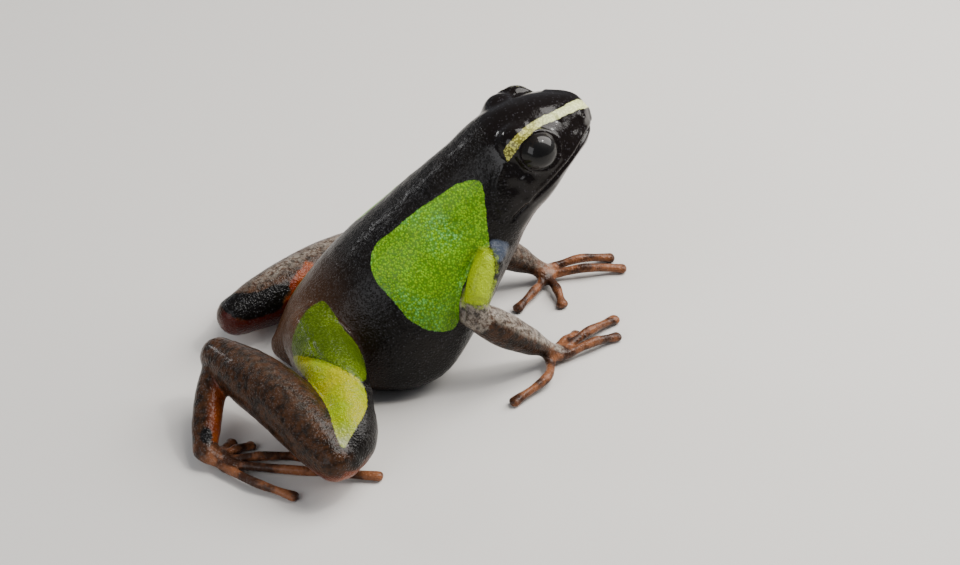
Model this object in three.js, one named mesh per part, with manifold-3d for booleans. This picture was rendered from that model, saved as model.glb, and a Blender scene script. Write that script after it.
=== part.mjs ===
// A black-and-green mantella, a small ground frog, sitting with its chest raised on its arms.
// Millimetres. x runs forward from the vent, y to the frog's left, z up from the ground.
import * as THREE from "three";
import { mergeVertices } from "three/addons/utils/BufferGeometryUtils.js";
import Module from "manifold-3d";

const wasm = await Module();
wasm.setup();

// Sizes that everything shares
const GAP = 0.3; // left between neighbouring pieces
const MIDDLE = [8.3, -0.45]; // ground point under the middle of the frog, seen from above
const TRUNK_SIDES = 28;
const LIMB_SIDES = 12;
const DIGIT_SIDES = 7;
const DIGIT_STEPS = 7;
const LIMB_STEPS = 8;

// Trunk and head: a row of upright slices from vent to snout.
// Each slice has its back point [x, z], its belly point [x, z], its half width,
// how far up from the belly it is widest, as a share of its height,
// and how square its lower half is, 2 being round.
const SLICES = [
  [[0.0, 2.7], [0.2, 1.1], 0.8, 0.5, 2],
  [[0.9, 3.7], [1.3, 0.4], 1.8, 0.5, 2],
  [[2.2, 5.2], [3.0, 0.0], 3.0, 0.4, 2.6],
  [[3.9, 7.0], [5.2, -0.15], 4.2, 0.32, 3.4],
  [[5.7, 8.6], [7.6, -0.15], 4.95, 0.28, 3.6],
  [[7.6, 10.1], [10.0, 0.5], 4.85, 0.32, 3],
  [[9.5, 11.7], [12.2, 2.5], 4.0, 0.4, 2.4],
  [[11.3, 13.1], [13.7, 4.6], 3.45, 0.43, 2],
  [[12.9, 14.4], [14.7, 6.8], 3.35, 0.4, 2],
  [[14.4, 15.2], [15.6, 8.9], 3.45, 0.36, 2],
  [[15.9, 15.5], [16.8, 10.4], 3.35, 0.34, 2],
  [[17.2, 15.55], [17.9, 11.8], 2.75, 0.33, 2],
  [[18.4, 15.4], [18.7, 12.6], 1.95, 0.26, 2],
  [[19.1, 15.05], [19.2, 12.95], 1.15, 0.22, 2],
  [[19.45, 14.6], [19.45, 13.5], 0.5, 0.3, 2],
];
const RINGS_PER_SLICE = 2;
const NECK_AT = 8.35; // slice number where the head is parted from the torso

// Head
const EYE_RADIUS = 1.15;
const EYE_CENTRE = [15.83, 2.35, 13.75];
const EYE_LOOKS = [0.25, 0.85, 0.42]; // outward direction of the eye's opening
const LID_THICKNESS = 0.17;
const LID_OPENING = [1.3, 1.2]; // half length and half height of the opening
const MOUTH_GROOVE = 0.16; // radius of the groove between the lips
const LIP_RADIUS = 0.2;
const MOUTH_FROM = 9.2; // slice number of the corner of the mouth
const NOSTRIL = { slice: 12.55, angle: 42, radius: 0.2 };
const EARDRUM = { slice: 9.35, angle: 26, radius: 0.62, raised: 0.12 };

// Limbs: joints, and points along the thigh, as [x, y, z],
// then half widths and half heights along each piece
const LIMBS = {
  right: {
    shoulder: [12.6, -3.3, 7.9],
    elbow: [11.2, -4.2, 5.1],
    wrist: [15.6, -3.5, 1.05],
    fingers: [
      { root: [16.2, -3.0, 0.5], bend: [17.0, -2.3, 0.5], tip: [17.8, -1.6, 0.2] },
      { root: [16.6, -3.2, 0.5], bend: [18.4, -2.0, 0.6], tip: [20.3, -0.8, 0.2] },
      { root: [16.7, -3.6, 0.5], bend: [18.4, -3.1, 0.6], tip: [20.0, -2.5, 0.2] },
      { root: [15.6, -4.2, 0.5], bend: [15.0, -5.7, 0.6], tip: [12.8, -6.9, 0.2] },
    ],
    hip: [2.1, -1.8, 3.6],
    thigh: [[2.9, -7.1, 3.3], [2.7, -10.3, 2.8], [1.9, -12.0, 2.5]],
    knee: [1.4, -12.4, 2.6],
    heel: [-3.0, -2.1, 3.5],
    ankle: [-5.0, -7.0, 0.8],
    toes: [
      { root: [-4.4, -7.0, 0.5], bend: [-3.9, -6.6, 0.45], tip: [-3.3, -5.9, 0.2] },
      { root: [-4.1, -7.3, 0.5], bend: [-3.2, -6.9, 0.5], tip: [-2.3, -6.5, 0.2] },
      { root: [-3.9, -7.7, 0.5], bend: [-2.0, -8.0, 0.55], tip: [0.2, -8.3, 0.2] },
      { root: [-3.9, -8.1, 0.5], bend: [-0.6, -9.7, 0.5], tip: [4.0, -11.4, 0.2] },
      { root: [-4.1, -8.4, 0.5], bend: [-2.8, -10.2, 0.5], tip: [-0.9, -11.8, 0.2] },
    ],
  },
  left: {
    shoulder: [12.7, 3.3, 7.9],
    elbow: [12.9, 4.2, 3.9],
    wrist: [17.1, 4.7, 1.0],
    fingers: [
      { root: [17.2, 4.0, 0.45], bend: [16.4, 3.0, 0.5], tip: [15.2, 2.0, 0.2] },
      { root: [17.6, 4.0, 0.5], bend: [17.8, 2.9, 0.5], tip: [17.8, 1.6, 0.2] },
      { root: [18.2, 4.5, 0.5], bend: [20.0, 4.3, 0.6], tip: [22.1, 4.1, 0.2] },
      { root: [18.0, 5.1, 0.5], bend: [19.8, 5.4, 0.6], tip: [21.7, 5.4, 0.2] },
    ],
    hip: [2.1, 1.8, 3.6],
    thigh: [[6.4, 5.1, 3.0], [8.1, 7.0, 2.5], [9.0, 8.2, 2.1]],
    knee: [8.8, 8.3, 2.1],
    heel: [-1.1, 3.8, 2.0],
    ankle: [1.2, 8.2, 0.8],
    toes: [
      { root: [1.9, 8.3, 0.5], bend: [2.7, 8.5, 0.5], tip: [3.5, 8.8, 0.2] },
      { root: [2.0, 8.5, 0.5], bend: [3.2, 9.0, 0.5], tip: [4.5, 9.4, 0.2] },
      { root: [2.1, 8.8, 0.5], bend: [4.2, 9.7, 0.55], tip: [6.2, 10.3, 0.2] },
      { root: [2.1, 9.1, 0.5], bend: [5.4, 10.4, 0.5], tip: [9.3, 12.2, 0.2] },
      { root: [1.8, 9.2, 0.5], bend: [3.4, 10.4, 0.5], tip: [5.6, 11.6, 0.2] },
    ],
  },
};
const UPPER_ARM = [[0.85, 0.85], [0.85, 0.85], [0.8, 0.85], [0.75, 0.8]];
const FOREARM = [[0.8, 0.85], [0.98, 1.0], [0.85, 0.85], [0.55, 0.5]];
const THIGH = [[1.6, 1.6], [1.6, 1.75], [1.5, 1.7], [1.6, 1.6], [1.25, 1.3]];
const SHANK = [[1.15, 1.2], [1.55, 1.6], [1.7, 1.7], [1.45, 1.45], [1.1, 1.15]];
const TARSUS = [[0.85, 0.85], [0.9, 0.8], [0.85, 0.65], [0.75, 0.6]];
const PALM = [[0.55, 0.45], [0.75, 0.42], [0.65, 0.4]];
const SOLE = [[0.6, 0.55], [0.8, 0.45], [0.65, 0.42]];
const DIGIT = [[0.32, 0.34], [0.3, 0.32], [0.28, 0.3], [0.34, 0.28]];
const SKIN_COLOURS = {
  black: ["#15120f", 0.42],
  brown: ["#3a2a1c", 0.5],
  green: ["#8fae1c", 0.5],
  eye: ["#0b0908", 0.08],
};

// Joins rows of points into one closed skin, with a pole at each end.
function closedSkin(rings, firstPole, lastPole) {
  const sides = rings[0].length;
  const points = [firstPole, ...rings.flat(), lastPole];
  const faces = [];
  const at = (ring, side) => 1 + ring * sides + (side % sides);
  for (let side = 0; side < sides; side++) {
    faces.push(0, at(0, side + 1), at(0, side));
    for (let ring = 0; ring + 1 < rings.length; ring++) {
      const a = at(ring, side);
      const b = at(ring, side + 1);
      const c = at(ring + 1, side);
      const d = at(ring + 1, side + 1);
      faces.push(a, b, d, a, d, c);
    }
    faces.push(points.length - 1, at(rings.length - 1, side), at(rings.length - 1, side + 1));
  }
  const geometry = new THREE.BufferGeometry().setFromPoints(points);
  return geometry.setIndex(faces);
}

// Turns a closed geometry into a solid that can be joined and cut.
function solidFrom(geometry) {
  const bare = geometry.clone();
  bare.deleteAttribute("normal");
  bare.deleteAttribute("uv");
  const merged = mergeVertices(bare, 1e-5);
  const solid = new wasm.Manifold(
    new wasm.Mesh({
      numProp: 3,
      vertProperties: new Float32Array(merged.attributes.position.array),
      triVerts: new Uint32Array(merged.index.array),
    }),
  );
  return solid;
}

function geometryFrom(solid) {
  const mesh = solid.getMesh();
  const points = new Float32Array(mesh.numVert * 3);
  for (let i = 0; i < mesh.numVert; i++) {
    const start = i * mesh.numProp;
    points.set(mesh.vertProperties.subarray(start, start + 3), i * 3);
  }
  return new THREE.BufferGeometry()
    .setAttribute("position", new THREE.BufferAttribute(points, 3))
    .setIndex(new THREE.BufferAttribute(mesh.triVerts, 1));
}

function largestBody(solid) {
  const bodies = solid.decompose();
  return bodies.reduce((best, body) => (body.volume() > best.volume() ? body : best));
}

// Smooth value at a fractional place in a list of numbers.
function smoothAt(values, place) {
  const last = values.length - 1;
  const i = Math.min(Math.floor(place), last - 1);
  const t = place - i;
  const p0 = values[Math.max(i - 1, 0)];
  const p1 = values[i];
  const p2 = values[i + 1];
  const p3 = values[Math.min(i + 2, last)];
  const bend = 2 * p0 - 5 * p1 + 4 * p2 - p3;
  return 0.5 * (2 * p1 + (p2 - p0) * t + bend * t * t + (3 * (p1 - p2) + p3 - p0) * t * t * t);
}

// One slice of the trunk: its centre, its up direction and its reach up, down and sideways.
function trunkSlice(place) {
  const pick = (read) => smoothAt(SLICES.map(read), place);
  const back = new THREE.Vector3(pick((s) => s[0][0]), 0, pick((s) => s[0][1]));
  const belly = new THREE.Vector3(pick((s) => s[1][0]), 0, pick((s) => s[1][1]));
  const level = pick((s) => s[3]);
  const height = back.distanceTo(belly);
  return {
    centre: belly.clone().lerp(back, level),
    upward: back.clone().sub(belly).normalize(),
    up: height * (1 - level),
    down: height * level,
    wide: pick((s) => s[2]),
    squareness: pick((s) => s[4]),
  };
}

// Point on the trunk: angle 0 is the frog's left side, 90 its back, 180 its right side.
function trunkPoint(place, angle, grow = 0) {
  const slice = trunkSlice(place);
  const turn = THREE.MathUtils.degToRad(angle);
  const upper = Math.sin(turn) > 0;
  const power = 2 / (upper ? 2 : slice.squareness);
  const sideways = Math.sign(Math.cos(turn)) * Math.abs(Math.cos(turn)) ** power;
  const upwards = Math.sign(Math.sin(turn)) * Math.abs(Math.sin(turn)) ** power;
  const reach = (upper ? slice.up : slice.down) + grow;
  return slice.centre
    .clone()
    .add(new THREE.Vector3(0, sideways * (slice.wide + grow), 0))
    .addScaledVector(slice.upward, upwards * reach);
}

function trunkSolid(grow) {
  const last = SLICES.length - 1;
  const rings = [];
  for (let n = 0; n <= last * RINGS_PER_SLICE; n++) {
    const ring = [];
    for (let side = 0; side < TRUNK_SIDES; side++) {
      ring.push(trunkPoint(n / RINGS_PER_SLICE, (side / TRUNK_SIDES) * 360, grow));
    }
    rings.push(ring);
  }
  const tail = trunkSlice(0);
  const nose = trunkSlice(last);
  const forward = (slice) => new THREE.Vector3(slice.upward.z, 0, -slice.upward.x);
  const tailPole = tail.centre.clone().addScaledVector(forward(tail), -tail.wide * 0.4 - grow);
  const nosePole = nose.centre.clone().addScaledVector(forward(nose), nose.wide * 0.25 + grow);
  return solidFrom(closedSkin(rings, tailPole, nosePole));
}

// A rounded limb or digit through its points, with half widths and heights along it.
function limbSolid(points, sizes, sides, steps, grow = 0) {
  const curve = new THREE.CatmullRomCurve3(points.map((p) => new THREE.Vector3(...p)));
  const rings = [];
  const upright = new THREE.Vector3(0, 0, 1);
  const addRing = (t, shift, shrink) => {
    const centre = curve.getPointAt(t);
    const along = curve.getTangentAt(t);
    const side = new THREE.Vector3().crossVectors(upright, along).normalize();
    const up = new THREE.Vector3().crossVectors(along, side);
    const place = t * (sizes.length - 1);
    const wide = (smoothAt(sizes.map((s) => s[0]), place) + grow) * shrink;
    const high = (smoothAt(sizes.map((s) => s[1]), place) + grow) * shrink;
    centre.addScaledVector(along, shift);
    const ring = [];
    for (let n = 0; n < sides; n++) {
      const turn = (n / sides) * 2 * Math.PI;
      ring.push(
        centre
          .clone()
          .addScaledVector(side, Math.cos(turn) * wide)
          .addScaledVector(up, Math.sin(turn) * high),
      );
    }
    rings.push(ring);
  };
  const first = Math.min(...sizes[0]) + grow;
  const last = Math.min(...sizes[sizes.length - 1]) + grow;
  addRing(0, -0.87 * first, 0.5);
  addRing(0, -0.5 * first, 0.87);
  for (let n = 0; n <= steps; n++) addRing(n / steps, 0, 1);
  addRing(1, 0.5 * last, 0.87);
  addRing(1, 0.87 * last, 0.5);
  const firstPole = curve.getPointAt(0).addScaledVector(curve.getTangentAt(0), -first);
  const lastPole = curve.getPointAt(1).addScaledVector(curve.getTangentAt(1), last);
  return solidFrom(closedSkin(rings, firstPole, lastPole));
}

function ballSolid(centre, radius, detail = 16) {
  const ball = new THREE.SphereGeometry(radius, detail, detail / 2);
  ball.translate(...centre);
  return solidFrom(ball);
}

// A round or oval rod from one point in a direction.
function ovalRod(from, direction, length, halfLong, halfHigh) {
  const rod = new THREE.CylinderGeometry(1, 1, length, 16);
  rod.rotateX(Math.PI / 2);
  rod.scale(halfLong, halfHigh, 1);
  rod.translate(0, 0, length / 2);
  const place = new THREE.Object3D();
  place.position.set(...from);
  place.up.set(0, 0, 1);
  place.lookAt(new THREE.Vector3(...from).add(new THREE.Vector3(...direction)));
  place.updateMatrixWorld(true);
  rod.applyMatrix4(place.matrixWorld);
  return solidFrom(rod);
}

function slabSolid(size, centre, tilt = 0) {
  const slab = new THREE.BoxGeometry(...size);
  slab.rotateY(tilt);
  slab.translate(...centre);
  return solidFrom(slab);
}

const everything = 60;
const underGround = slabSolid([everything, everything, everything], [0, 0, -everything / 2]);
const onGround = (solid) => largestBody(solid.subtract(underGround));
const mirrored = ([x, y, z]) => [x, -y, z];

// Parts the trunk at the neck, across the slice there.
function neckCut(forwardSide, shift) {
  const slice = trunkSlice(NECK_AT);
  const tilt = Math.atan2(slice.upward.x, slice.upward.z);
  const reach = everything / 2 + shift;
  const ahead = new THREE.Vector3(slice.upward.z, 0, -slice.upward.x);
  const centre = slice.centre.clone().addScaledVector(ahead, forwardSide ? reach : -reach);
  return slabSolid([everything, everything, everything], centre.toArray(), tilt);
}

// A line round the snout on the line of the mouth, lifted by an angle.
function mouthLine(lift) {
  const last = SLICES.length - 1;
  const line = [];
  for (let place = MOUTH_FROM; place < last; place += 1.2) {
    line.push(trunkPoint(place, lift).toArray());
  }
  const front = trunkPoint(last, lift);
  const otherSide = line.map(mirrored).reverse();
  return [...line, [front.x + 0.05, 0, front.z], ...otherSide];
}

function mouthTube(radius, lift) {
  return limbSolid(mouthLine(lift), [[radius, radius], [radius, radius]], 6, 20);
}

function headSolid() {
  let head = trunkSolid(0).intersect(neckCut(true, GAP / 2));
  head = head.add(mouthTube(LIP_RADIUS, 7)).add(mouthTube(LIP_RADIUS, -7));
  for (const turn of [(p) => p, mirrored]) {
    const eye = turn(EYE_CENTRE);
    const looks = turn(EYE_LOOKS);
    head = head.add(ballSolid(eye, EYE_RADIUS + GAP + LID_THICKNESS));
    head = head.add(eardrumSolid(turn));
    head = head.subtract(ballSolid(eye, EYE_RADIUS + GAP));
    head = head.subtract(ovalRod(eye, looks, 3, ...LID_OPENING));
    const nostril = trunkPoint(NOSTRIL.slice, NOSTRIL.angle).toArray();
    head = head.subtract(ballSolid(turn(nostril), NOSTRIL.radius, 8));
  }
  head = head.subtract(mouthTube(MOUTH_GROOVE, 0));
  return largestBody(head);
}

function eardrumSolid(turn) {
  const at = trunkPoint(EARDRUM.slice, EARDRUM.angle);
  const inside = trunkSlice(EARDRUM.slice).centre;
  const out = at.clone().sub(inside).normalize();
  const start = at.clone().addScaledVector(out, -0.5);
  const length = 0.5 + EARDRUM.raised;
  return ovalRod(turn(start.toArray()), turn(out.toArray()), length, EARDRUM.radius, EARDRUM.radius);
}

const group = new THREE.Group();
group.position.set(-MIDDLE[0], -MIDDLE[1], 0);

function addNode(name, solid, [colour, roughness]) {
  const material = new THREE.MeshStandardMaterial({ color: colour, roughness, metalness: 0 });
  const mesh = new THREE.Mesh(geometryFrom(solid), material);
  mesh.name = name;
  group.add(mesh);
}

const grownTrunk = trunkSolid(GAP);
addNode("torso", onGround(trunkSolid(0).intersect(neckCut(false, GAP / 2))), SKIN_COLOURS.black);
addNode("head", headSolid(), SKIN_COLOURS.black);
addNode("left_eye", ballSolid(EYE_CENTRE, EYE_RADIUS, 18), SKIN_COLOURS.eye);
addNode("right_eye", ballSolid(mirrored(EYE_CENTRE), EYE_RADIUS, 18), SKIN_COLOURS.eye);

// Each piece of a limb is cut clear of the trunk and of the pieces before it.
function addLimb(pieces) {
  let before = grownTrunk;
  for (const { name, colour, make } of pieces) {
    addNode(name, onGround(make(0).subtract(before)), colour);
    before = before.add(make(GAP));
  }
}

const middleOf = (a, b, bow = [0, 0, 0]) => a.map((value, i) => (value + b[i]) / 2 + bow[i]);

// A palm or sole with its digits fused to it.
function pawSolid(joint, digits, flesh, grow) {
  const roots = digits.map((digit) => digit.root);
  const across = [0, 1, 2].map((i) => roots.reduce((sum, root) => sum + root[i], 0) / roots.length);
  let paw = limbSolid([joint, middleOf(joint, across), across], flesh, 10, 3, grow);
  for (const { root, bend, tip } of digits) {
    const start = middleOf(joint, root);
    paw = paw.add(limbSolid([start, root, bend, tip], DIGIT, DIGIT_SIDES, DIGIT_STEPS, grow));
  }
  return paw;
}

for (const [side, limb] of Object.entries(LIMBS)) {
  const { shoulder, elbow, wrist, hip, knee, heel, ankle } = limb;
  const outward = side === "left" ? 1 : -1;
  const span = (from, to, bow, sizes) => (grow) =>
    limbSolid([from, middleOf(from, to, bow), to], sizes, LIMB_SIDES, LIMB_STEPS, grow);
  addLimb([
    {
      name: side + "_upper_arm",
      colour: SKIN_COLOURS.green,
      make: span(shoulder, elbow, [-0.3, 0.3 * outward, 0], UPPER_ARM),
    },
    {
      name: side + "_forearm",
      colour: SKIN_COLOURS.brown,
      make: span(elbow, wrist, [0, 0.2 * outward, 0], FOREARM),
    },
    {
      name: side + "_hand",
      colour: SKIN_COLOURS.brown,
      make: (grow) => pawSolid(wrist, limb.fingers, PALM, grow),
    },
  ]);
  addLimb([
    {
      name: side + "_thigh",
      colour: SKIN_COLOURS.green,
      make: (grow) => limbSolid([hip, ...limb.thigh], THIGH, LIMB_SIDES, LIMB_STEPS, grow),
    },
    {
      name: side + "_shank",
      colour: SKIN_COLOURS.brown,
      make: span(knee, heel, [0.1, 0, 0.1], SHANK),
    },
    {
      name: side + "_tarsus",
      colour: SKIN_COLOURS.brown,
      make: span(heel, ankle, [-0.2, 0, 0], TARSUS),
    },
    {
      name: side + "_foot",
      colour: SKIN_COLOURS.brown,
      make: (grow) => pawSolid(ankle, limb.toes, SOLE, grow),
    },
  ]);
}

export default group;
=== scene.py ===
# A black-and-green mantella, a small frog at life size, sitting with its chest raised.
# The frog is modelled in millimetres, x forward from the vent, y to its left, z up from the floor,
# and each finished piece is then brought to metres in the part's own frame.
import math

import bmesh
import bpy
import numpy as np
from mathutils import Matrix, Vector
from mathutils.bvhtree import BVHTree


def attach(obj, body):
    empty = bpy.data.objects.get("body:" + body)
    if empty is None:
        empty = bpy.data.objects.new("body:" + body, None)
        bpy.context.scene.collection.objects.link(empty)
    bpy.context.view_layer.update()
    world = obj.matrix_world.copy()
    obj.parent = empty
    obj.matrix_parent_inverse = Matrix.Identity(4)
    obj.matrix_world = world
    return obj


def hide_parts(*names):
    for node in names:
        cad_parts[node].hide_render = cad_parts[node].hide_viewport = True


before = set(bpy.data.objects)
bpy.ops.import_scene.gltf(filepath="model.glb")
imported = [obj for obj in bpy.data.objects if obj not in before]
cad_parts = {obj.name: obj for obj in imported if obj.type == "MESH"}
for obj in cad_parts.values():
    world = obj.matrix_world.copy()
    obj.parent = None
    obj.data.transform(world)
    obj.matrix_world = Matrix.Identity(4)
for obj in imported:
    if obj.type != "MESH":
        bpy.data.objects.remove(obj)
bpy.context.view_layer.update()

# Placing
MM = 0.001
MIDDLE = (8.3, -0.45)  # point of the floor, in frog millimetres, that is the part's origin
MIRROR = np.array([1, -1, 1])  # takes a point to the frog's other side

# Trunk and head: a row of upright slices from vent to snout.
# Back point (x, z), belly point (x, z), half width, level of the widest place, squareness below.
SLICES = [
    ((0.5, 2.7), (0.6, 1.3), 0.6, 0.5, 2.0),
    ((1.15, 3.8), (1.5, 0.5), 1.6, 0.5, 2.0),
    ((2.2, 5.2), (3.0, 0.0), 3.0, 0.4, 2.6),
    ((3.9, 7.0), (5.2, -0.05), 4.2, 0.32, 3.4),
    ((5.7, 8.6), (7.6, -0.05), 4.95, 0.28, 3.6),
    ((7.6, 10.1), (10.0, 0.5), 4.85, 0.32, 3.0),
    ((9.5, 11.7), (12.2, 2.5), 4.0, 0.4, 2.4),
    ((11.3, 13.1), (13.7, 4.6), 3.45, 0.43, 2.0),
    ((12.9, 14.4), (14.7, 6.8), 3.35, 0.4, 2.0),
    ((14.4, 15.2), (15.6, 8.9), 3.45, 0.36, 2.0),
    ((15.9, 15.5), (16.8, 10.4), 3.35, 0.34, 2.0),
    ((17.2, 15.55), (17.9, 11.8), 2.75, 0.33, 2.0),
    ((18.4, 15.4), (18.7, 12.6), 1.95, 0.26, 2.0),
    ((19.1, 15.05), (19.2, 12.95), 1.15, 0.22, 2.0),
    ((19.45, 14.6), (19.45, 13.5), 0.5, 0.3, 2.0),
]

SIDES = {"left": 1, "right": -1}  # which way each side lies along y

# Limbs: joints and digits, as right side and left side
LIMBS = {
    "right": {
        "shoulder": (12.7, -3.3, 8.0), "elbow": (11.2, -4.5, 5.1), "wrist": (15.6, -3.5, 1.05),
        "hip": (2.6, -1.8, 3.5), "knee": (1.4, -12.4, 2.6), "heel": (-3.0, -2.1, 3.5),
        "thigh": [(2.9, -7.1, 3.3), (2.7, -10.3, 2.8), (1.9, -12.0, 2.5)],
        "ankle": (-5.0, -7.0, 0.8),
        "fingers": [
            ((16.2, -3.0, 0.5), (17.0, -2.3, 0.5), (17.8, -1.6, 0.25)),
            ((16.6, -3.2, 0.5), (18.4, -2.0, 0.6), (20.3, -0.8, 0.25)),
            ((16.7, -3.6, 0.5), (18.4, -3.1, 0.6), (20.0, -2.5, 0.25)),
            ((15.6, -4.2, 0.5), (15.0, -5.7, 0.6), (12.8, -6.9, 0.25)),
        ],
        "toes": [
            ((-4.4, -7.0, 0.5), (-3.9, -6.6, 0.45), (-3.3, -5.9, 0.25)),
            ((-4.1, -7.3, 0.5), (-3.2, -6.9, 0.5), (-2.3, -6.5, 0.25)),
            ((-3.9, -7.7, 0.5), (-2.0, -8.0, 0.55), (0.2, -8.3, 0.25)),
            ((-3.9, -8.1, 0.5), (-0.6, -9.7, 0.5), (4.0, -11.4, 0.25)),
            ((-4.1, -8.4, 0.5), (-2.8, -10.2, 0.5), (-0.9, -11.8, 0.25)),
        ],
    },
    "left": {
        "shoulder": (12.7, 3.3, 8.0), "elbow": (12.9, 4.5, 3.9), "wrist": (17.1, 4.7, 1.0),
        "hip": (4.3, 1.5, 2.6), "knee": (8.8, 8.3, 2.1), "heel": (-1.1, 3.8, 2.0),
        "thigh": [(6.5, 4.7, 2.3), (8.2, 6.8, 2.1), (9.0, 8.2, 2.0)],
        "ankle": (1.2, 8.2, 0.8),
        "fingers": [
            ((17.2, 4.0, 0.45), (16.4, 3.0, 0.5), (15.2, 2.0, 0.25)),
            ((17.6, 4.0, 0.5), (17.8, 2.9, 0.5), (17.8, 1.6, 0.25)),
            ((18.2, 4.5, 0.5), (20.0, 4.3, 0.6), (22.1, 4.1, 0.25)),
            ((18.0, 5.1, 0.5), (19.8, 5.4, 0.6), (21.7, 5.4, 0.25)),
        ],
        "toes": [
            ((1.9, 8.3, 0.5), (2.7, 8.5, 0.5), (3.5, 8.8, 0.25)),
            ((2.0, 8.5, 0.5), (3.2, 9.0, 0.5), (4.5, 9.4, 0.25)),
            ((2.1, 8.8, 0.5), (4.2, 9.7, 0.55), (6.2, 10.3, 0.25)),
            ((2.1, 9.1, 0.5), (5.4, 10.4, 0.5), (9.3, 12.2, 0.25)),
            ((1.8, 9.2, 0.5), (3.4, 10.4, 0.5), (5.6, 11.6, 0.25)),
        ],
    },
}
# Half width and half height along each stretch of limb
UPPER_ARM = [(0.95, 1.0), (0.95, 1.0), (0.88, 0.92), (0.82, 0.86)]
FOREARM = [(0.78, 0.8), (0.98, 1.0), (0.85, 0.85), (0.55, 0.5)]
THIGH = [(1.9, 2.0), (1.85, 1.95), (1.6, 1.72), (1.6, 1.6), (1.25, 1.3)]
SHANK = [(1.15, 1.2), (1.55, 1.6), (1.75, 1.75), (1.6, 1.6), (1.15, 1.2)]
TARSUS = [(0.85, 0.85), (0.9, 0.8), (0.85, 0.65), (0.7, 0.55)]
PALM = [(0.55, 0.45), (0.7, 0.42), (0.6, 0.4)]
SOLE = [(0.65, 0.55), (0.75, 0.45), (0.6, 0.42)]
# A digit swells a little at each knuckle and ends in a small round disc
DIGIT = [(0.33, 0.33), (0.27, 0.29), (0.33, 0.32), (0.25, 0.26), (0.3, 0.29), (0.24, 0.24), (0.38, 0.27)]

# Rough bodies: sides and rings of a limb, a digit and a palm, and of the trunk
LIMB_MESH = (24, 22)
DIGIT_MESH = (14, 26)
PALM_MESH = (16, 10)
TRUNK_SIDES = 56
RINGS_PER_SLICE = 5
# Rounded ends: share of the end's size, and reach past it, on a limb in half widths
LIMB_END = ((0.35, 0.93), (0.7, 0.71), (0.92, 0.38))
TAIL_END = ((0.5, -0.3), (0.85, -0.18))
NOSE_END = ((0.85, 0.1), (0.5, 0.16))

# Eyes and head
EYE_RADIUS = 1.22
EYE_CENTRE = (15.86, 2.33, 13.78)
EYE_LOOKS = (0.2, 0.87, 0.42)
EYE_LONG_WAY = (0.93, 0.0, 0.25)
CORNEA_BULGE = 0.045  # this and the pupil's height are shares of the eye's radius
PUPIL_HEIGHT = 0.5
PUPIL_STRETCH = 1.25
LID_RADIUS = 1.3
LID_THICKNESS = 0.07
OPENING_RADIUS = 1.1  # of the round opening between the lids
OPENING_SHAPE = (1.04, 0.95, 1.02)  # its stretch along, upwards and downwards
OPENING_EDGE = 0.06
RIM_RADIUS = 1.2
RIM_WIDTH = 0.09
RIM_HEIGHT = 0.02
UPPER_RIM_HEIGHT = 0.06  # what the upper lid's rim adds
BEHIND_EYE = 0.12  # how deep the skin sinks below the eyeball's face
BROW_FROM_EYE = (-0.95, -0.7, 0.2)  # the skull bulges behind each eye
BROW_RADIUS = 1.22
LIP = 0.2  # distance of each lip's ridge from the mouth line

# Camera: a long lens from the frog's right and above, as far off as a close-up is taken
CAMERA_ELEVATION = 34.5
CAMERA_TURN = 10.0
CAMERA_ROLL = -4.4
CAMERA_DISTANCE = 240.0
CAMERA_AIM = (8.0, 0.0, 5.0)
SENSOR = 36.0
IMAGE_WIDTH = 960
PIXELS_PER_MM = 17.52  # size of a millimetre at the aim point
AIM_PIXEL = (399.72, 281.47)
IMAGE_MIDDLE = (480.0, 282.5)

# Skin mesh
VOXEL = 0.085
SKIN_TRIANGLES = 192000
UNEVENNESS = 0.07
UNEVENNESS_SIZE = 1.1
FLAT_LEVEL = 0.02  # the skin below it is pressed flat

# Distances: points along a limb's middle line, how far from a limb they are worked out,
# the distance given beyond that, and places measured in each slice of the trunk
LINE_STEPS = 30
LIMB_REACH = 3.0
FAR = 9.0
SLICE_PARTS = 4


def clear_selection():
    for thing in bpy.context.selected_objects:
        thing.select_set(False)


def choose(thing):
    clear_selection()
    thing.select_set(True)
    bpy.context.view_layer.objects.active = thing


def smooth_at(values, place):
    """Smooth value at a fractional place in a list of numbers or points."""
    values = np.asarray(values, float)
    last = len(values) - 1
    i = min(int(place), last - 1)
    t = place - i
    p0, p1 = values[max(i - 1, 0)], values[i]
    p2, p3 = values[i + 1], values[min(i + 2, last)]
    bend = 2 * p0 - 5 * p1 + 4 * p2 - p3
    return 0.5 * (2 * p1 + (p2 - p0) * t + bend * t**2 + (3 * (p1 - p2) + p3 - p0) * t**3)


def smooth_line(points, steps=60):
    return np.array([smooth_at(points, p) for p in np.linspace(0, len(points) - 1, steps)])


def smooth_loop(points, steps=90):
    """A closed smooth line through points."""
    points = np.asarray(points, float)
    wrapped = np.vstack([points[-2:], points, points[:3]])
    return np.array([smooth_at(wrapped, 2 + p) for p in np.linspace(0, len(points), steps, endpoint=False)])


def unit(v):
    v = np.asarray(v, float)
    return v / np.linalg.norm(v)


def ease(value, low, high):
    """0 below low, 1 above high, and a smooth rise between."""
    t = np.clip((value - low) / (high - low), 0, 1)
    return t * t * (3 - 2 * t)


def least(*values):
    return np.minimum.reduce(values)


# Camera and drawing: the markings are laid out on a drawing of the frog's right side,
# made from where the camera stands, and mirrored to its left side.
def view_axes():
    up_angle, turn, roll = (math.radians(a) for a in (CAMERA_ELEVATION, CAMERA_TURN, CAMERA_ROLL))
    forward = np.array([
        math.sin(turn) * math.cos(up_angle),
        math.cos(turn) * math.cos(up_angle),
        -math.sin(up_angle),
    ])
    level = np.array([math.cos(turn), -math.sin(turn), 0])
    upright = np.cross(level, forward)
    right = math.cos(roll) * level + math.sin(roll) * upright
    up = -math.sin(roll) * level + math.cos(roll) * upright
    return right, up, forward


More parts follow.
